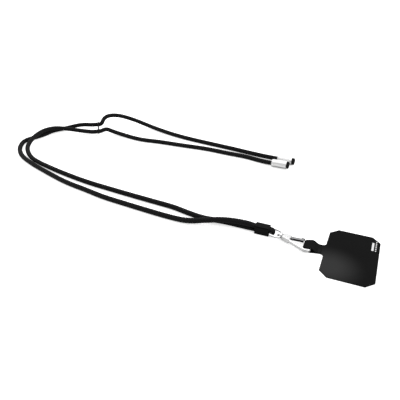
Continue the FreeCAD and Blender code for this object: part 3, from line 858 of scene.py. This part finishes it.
def build_tab():
    """The woven tab in a slack loop round the hook's bar, its near edge lying over the hook's spine."""
    path, bar = tab_path()
    rows = []
    for x, z, mark in path:
        near, far = tab_edges(x, mark)
        on_top = 1 - smooth_step(mark)
        free = 1 - smooth_step(abs(x - RIPPLE_AT) / RIPPLE_HALF)
        row = []
        for t in np.linspace(-1, 1, TAB_COLUMNS):
            lift = TAB_CURL * abs(t) ** 3 * on_top * (1 - free)
            ripple = TAB_RIPPLE * math.sin(2.6 * t + 0.9 * x) * on_top * free
            y = (near + far) / 2 + (far - near) / 2 * t
            row.append((bar[0] + x, y, z + lift + ripple))
        rows.append(row)
    piece = sheet_solid("tether_tab", np.array(rows), WEB_T, WEB)
    finish_piece(piece, "tab", "tab_loop")
    bend_across_card_joint(piece)


def bend_across_card_joint(piece):
    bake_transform(piece)


def card_half_width(x):
    """Half the card's width at x: tab, fillet, straight end, chamfer, side, chamfer.

    The card is centred on the origin.
    """
    high = box("card_face")[1]
    near_edge = -high[0]
    if x < near_edge - CARD_FILLET:
        return TAB_NECK_HALF
    if x < near_edge:
        share = (x - near_edge + CARD_FILLET) / CARD_FILLET
        return TAB_NECK_HALF + CARD_FILLET * (1 - math.sqrt(1 - share * share))
    from_end = min(x - near_edge, high[0] - x)
    return high[1] - CARD_CHAMFER + min(from_end, CARD_CHAMFER)


def build_card():
    high = box("card_face")[1]
    near_edge = -high[0]
    stub = np.linspace(near_edge - CARD_FILLET - CARD_STUB, near_edge - CARD_JOG[0], 26)
    sheet = near_edge + np.arange(CARD_STEP, high[0] - near_edge, CARD_STEP)
    stations = [*stub, near_edge + CARD_JOG[1], *sheet, high[0]]
    thickness = high[2] - CARD_LIFT
    rows = []
    for x in stations:
        half = card_half_width(x)
        rows.append([(x, half * t, high[2] - thickness / 2) for t in np.linspace(-1, 1, CARD_COLUMNS)])
    piece = sheet_solid("tether_card", np.array(rows), thickness, CARD)
    finish_piece(piece, "card", "card_face")
    bend_across_card_joint(piece)
    film_end = high[0] - FILM_INSET
    rows = []
    for x in [*sheet, high[0]]:
        half = card_half_width(x) - FILM_INSET
        rows.append([(min(x, film_end), half * t, FILM_T / 2) for t in np.linspace(-1, 1, FILM_COLUMNS)])
    film = sheet_solid("card_film", np.array(rows), FILM_T, FILM)
    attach(film, "card")
    finish_piece(film, "card_backing", "card_backing")


def build_marks():
    """Plain pale bars near the card's far edge, of no meaning."""
    edge, _, top = box("card_face")[1]
    from_edge, first_along, wide, long = MARK_DASH
    bars = [MARK_BLOCK]
    bars += [(from_edge, first_along + MARK_DASH_STEP * i, wide, long) for i in range(MARK_DASHES)]
    points, faces = [], []
    for from_edge, y, wide, long in bars:
        first = len(points)
        for z, inset in ((top - MARK_ROOT, 0.0), (top + MARK_HEIGHT, MARK_BEVEL)):
            half_wide, half_long = wide / 2 - inset, long / 2 - inset
            for sx, sy in ((-1, -1), (1, -1), (1, 1), (-1, 1)):
                points.append((edge - from_edge + sx * half_wide, y + sy * half_long, z))
        quads = [(3, 2, 1, 0), (4, 5, 6, 7)]
        quads += [(i, (i + 1) % 4, (i + 1) % 4 + 4, i + 4) for i in range(4)]
        faces += [[first + corner for corner in quad] for quad in quads]
    piece = make_piece("card_bars", np.array(points), faces, INK, smooth=False)
    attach(piece, "card")


# ---- stage ---------------------------------------------------------------------------------------------


def build_floor():
    look = Look("floor_pale", 0.9)
    patch = look.noise(3, 2)
    look.colour(look.mix(patch, (0.93, 0.93, 0.93), (0.95, 0.95, 0.95)))
    look.shader.inputs["Emission Color"].default_value = (1, 1, 1, 1)
    seen = look.add("ShaderNodeLightPath").outputs["Is Camera Ray"]
    look.join(look.maths("MULTIPLY", seen, FLOOR_GLOW), look.shader.inputs["Emission Strength"])
    half = FLOOR_SIZE / 2
    level = in_mm(cad_box[0])[2] - FLOOR_DROP
    corners = [(-half, -half, level), (half, -half, level), (half, half, level), (-half, half, level)]
    make_piece("floor", np.array(corners), [[0, 1, 2, 3]], look.material, smooth=False)


def map_range(tree, source, from_low, from_high, to_low, to_high, kind="LINEAR"):
    node = tree.nodes.new("ShaderNodeMapRange")
    node.interpolation_type = kind
    limits = (("From Min", from_low), ("From Max", from_high), ("To Min", to_low), ("To Max", to_high))
    for label, value in limits:
        node.inputs[label].default_value = value
    tree.links.new(source, node.inputs["Value"])
    return node.outputs["Result"]


def build_world():
    """White all round to the eye; reflections fall off towards the horizon and the dark room in front."""
    world = bpy.data.worlds.new("studio")
    bpy.context.scene.world = world
    world.use_nodes = True
    tree = world.node_tree
    background = tree.nodes["Background"]
    background.inputs["Color"].default_value = (1, 1, 1, 1)
    where = tree.nodes.new("ShaderNodeTexCoord")
    split = tree.nodes.new("ShaderNodeSeparateXYZ")
    tree.links.new(where.outputs["Generated"], split.inputs["Vector"])
    rise = map_range(tree, split.outputs["Z"], 0.0, SKY_TOP, SKY_LOW, SKY_HIGH)
    front = map_range(tree, split.outputs["Y"], FRONT_FROM, FRONT_TO, FRONT_DARK, 1.0, "SMOOTHSTEP")
    dimmed = tree.nodes.new("ShaderNodeMath")
    dimmed.operation = "MULTIPLY"
    tree.links.new(rise, dimmed.inputs[0])
    tree.links.new(front, dimmed.inputs[1])
    ray = tree.nodes.new("ShaderNodeLightPath")
    pick = tree.nodes.new("ShaderNodeMix")
    tree.links.new(ray.outputs["Is Camera Ray"], pick.inputs["Factor"])
    tree.links.new(dimmed.outputs[0], pick.inputs["A"])
    pick.inputs["B"].default_value = 1.0
    tree.links.new(pick.outputs["Result"], background.inputs["Strength"])


def build_lights():
    for name, (place, size, power) in SOFTBOXES.items():
        light = bpy.data.lights.new(name, "AREA")
        light.shape = "DISK"
        light.size = size * MM
        light.energy = power
        lamp = place_object(name, light)
        lamp.location = Vector(place) * MM
        lamp.rotation_euler = (Vector(LIGHT_AIM) - Vector(place)).to_track_quat("-Z", "Y").to_euler()


def build_camera():
    """A camera aimed at the middle of the scene from in front, turned a little to the left."""
    level = math.cos(CAMERA_DIP)
    ahead = Vector((-math.sin(CAMERA_TURN) * level, math.cos(CAMERA_TURN) * level, -math.sin(CAMERA_DIP)))
    data = bpy.data.cameras.new("camera")
    data.lens = CAMERA_LENS
    data.sensor_width = CAMERA_FILM
    data.clip_start = 0.01
    camera = place_object("camera", data)
    camera.location = (Vector(CAMERA_AIM) - ahead * CAMERA_DISTANCE) * MM
    camera.rotation_euler = ahead.to_track_quat("-Z", "Y").to_euler()
    bpy.context.scene.camera = camera
    bpy.context.scene.view_settings.view_transform = "Standard"


# ---- build ---------------------------------------------------------------------------------------------

build_cord()
build_crimp()
build_slider()
build_end_cap("outer_tail", "outer_end_sleeve", "outer_end_plug")
build_end_cap("inner_tail", "inner_end_sleeve", "inner_end_plug")
build_hook()
build_tab()
build_card()
build_marks()
build_floor()
build_world()
build_lights()
build_camera()
